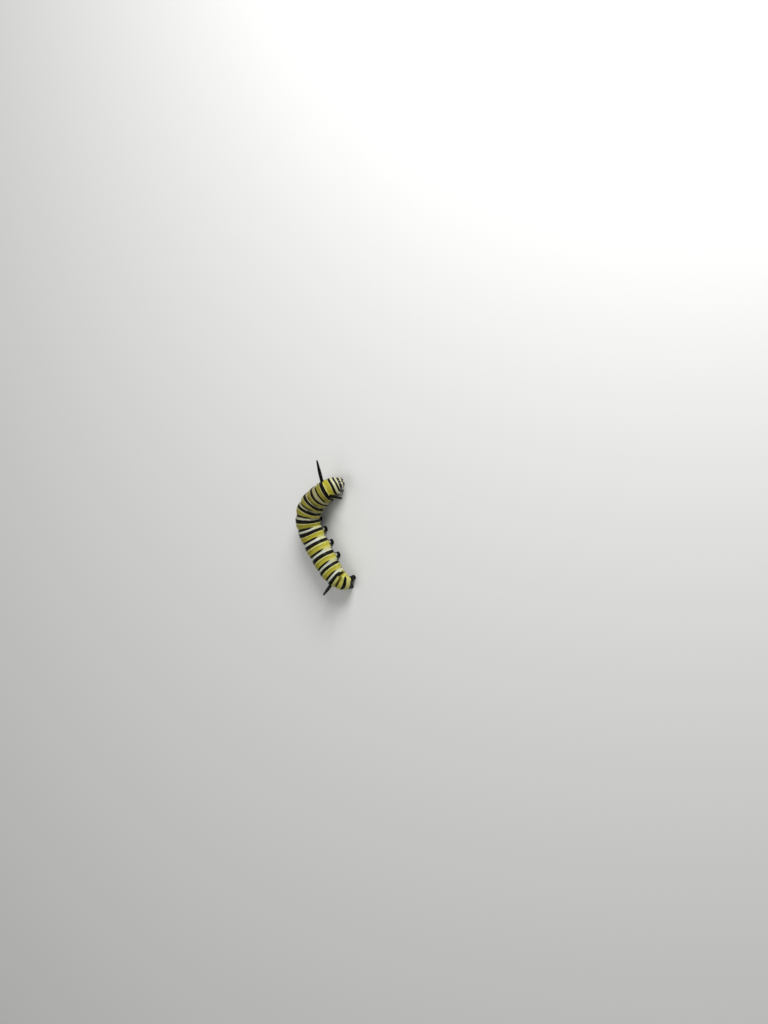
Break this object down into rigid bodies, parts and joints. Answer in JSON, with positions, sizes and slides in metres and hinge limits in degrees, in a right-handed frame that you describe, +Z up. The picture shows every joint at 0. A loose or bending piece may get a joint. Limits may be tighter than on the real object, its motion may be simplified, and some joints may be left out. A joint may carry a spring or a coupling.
{
  "type": "monarch larva",
  "caption": "Striped monarch larva bent like a C, with head, true legs, prolegs and black filaments, standing on its feet.",
  "frame": {"origin": "on the floor under the middle of the larva's box", "axes": "+Z up from the floor, +Y from the head end towards the tail end, +X towards the outer side of the bend, which is the animal's left"},
  "size_m": [0.0112, 0.0206, 0.0051],
  "materials": {
    "striped_skin": "soft, finely wrinkled skin banded in white, black and yellow, slightly moist sheen",
    "black_skin": "soft black skin with a faint sheen",
    "head_capsule": "smooth, glossy black horn with two pale bands",
    "leg_horn": "glossy black horn"
  },
  "bodies": {
    "root": {"head": "head_capsule", "antenna_left": "head_capsule", "antenna_right": "head_capsule", "prothorax": "striped_skin", "mesothorax": "striped_skin", "metathorax": "striped_skin", "abdomen_1_2": "striped_skin", "abdomen_3_4": "striped_skin", "abdomen_5_7": "striped_skin", "abdomen_8_10": "striped_skin", "leg_t1_left": "leg_horn", "leg_t1_right": "leg_horn", "leg_t2_left": "leg_horn", "leg_t2_right": "leg_horn", "leg_t3_left": "leg_horn", "leg_t3_right": "leg_horn", "proleg_a3_left": "black_skin", "proleg_a3_right": "black_skin", "proleg_a4_left": "black_skin", "proleg_a4_right": "black_skin", "proleg_a5_left": "black_skin", "proleg_a5_right": "black_skin", "proleg_a6_left": "black_skin", "proleg_a6_right": "black_skin", "proleg_a10_left": "black_skin", "proleg_a10_right": "black_skin", "filament_front_left": "black_skin", "filament_front_right": "black_skin", "filament_rear_left": "black_skin", "filament_rear_right": "black_skin"}
  },
  "joints": []
}
